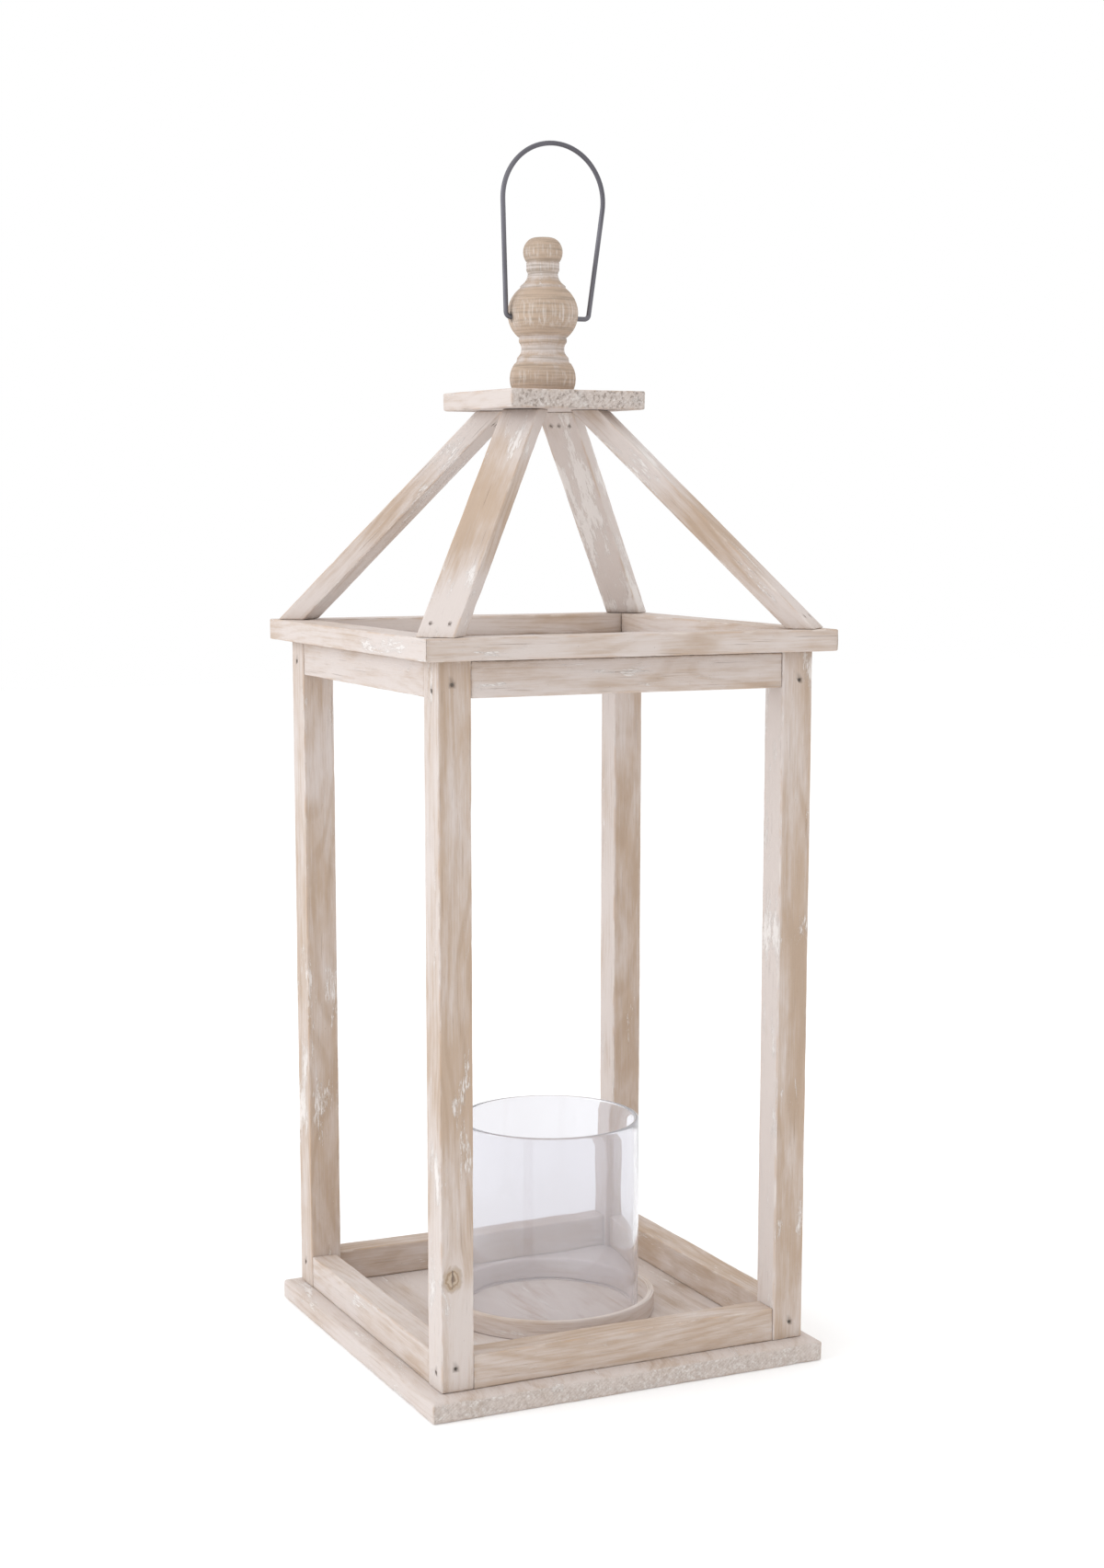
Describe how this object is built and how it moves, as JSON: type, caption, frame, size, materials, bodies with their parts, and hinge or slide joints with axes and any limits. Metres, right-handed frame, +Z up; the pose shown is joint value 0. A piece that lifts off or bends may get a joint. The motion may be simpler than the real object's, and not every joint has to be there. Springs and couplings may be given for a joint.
{
  "type": "hurricane candle lantern",
  "caption": "Open wooden hurricane lantern: square base, posts and rails, rafters to a cap and turned finial with a wire bail, and a loose glass cylinder in a ring.",
  "frame": {"origin": "centre of the square base board's underside, the face it stands on", "axes": "+Z up along the lantern's upright axis, -Y the front, +X to the right seen from the front"},
  "size_m": [0.284, 0.284, 0.7964],
  "materials": {
    "base_wood": "limewashed, rubbed back, matt",
    "rail_wood": "limewashed, matt",
    "post_wood": "limewashed with thin white streaks, matt",
    "frame_wood": "limewashed, matt",
    "rafter_wood": "limewashed, matt",
    "cap_wood": "limewashed, rough front edge",
    "finial_wood": "turned, brushed with thin white wash",
    "ring_wood": "bent wood, limewashed",
    "nail_steel": "dull dark steel",
    "screw_steel": "zinc plated",
    "bail_steel": "dark steel wire",
    "clear_glass": "clear, faintly lilac grey, polished rim"
  },
  "bodies": {
    "lantern": {"base_board": "base_wood", "bottom_rail_front": "rail_wood", "bottom_rail_right": "rail_wood", "bottom_rail_back": "rail_wood", "bottom_rail_left": "rail_wood", "post_front_left": "post_wood", "post_front_right": "post_wood", "post_back_right": "post_wood", "post_back_left": "post_wood", "top_rail_front": "rail_wood", "top_rail_right": "rail_wood", "top_rail_back": "rail_wood", "top_rail_left": "rail_wood", "roof_frame_front": "frame_wood", "roof_frame_right": "frame_wood", "roof_frame_back": "frame_wood", "roof_frame_left": "frame_wood", "rafter_front_left": "rafter_wood", "rafter_front_right": "rafter_wood", "rafter_back_right": "rafter_wood", "rafter_back_left": "rafter_wood", "cap_plate": "cap_wood", "finial": "finial_wood", "glass_ring": "ring_wood", "post_brads": "nail_steel", "roof_frame_nails": "nail_steel", "rafter_foot_nails": "nail_steel", "rafter_top_nails": "nail_steel", "base_screws": "screw_steel", "finial_screw": "screw_steel"},
    "bail": {"bail_handle": "bail_steel"},
    "glass": {"glass_cylinder": "clear_glass"}
  },
  "joints": [
    {"name": "bail_swing", "type": "hinge", "parent": "lantern", "child": "bail", "pos_m": [0, 0, 0.6843], "axis": [1, 0, 0], "range_deg": [-128, 128]},
    {"name": "glass_lift", "type": "slide", "parent": "lantern", "child": "glass", "axis": [0, 0, 1], "range_m": [0, 0.15]}
  ]
}
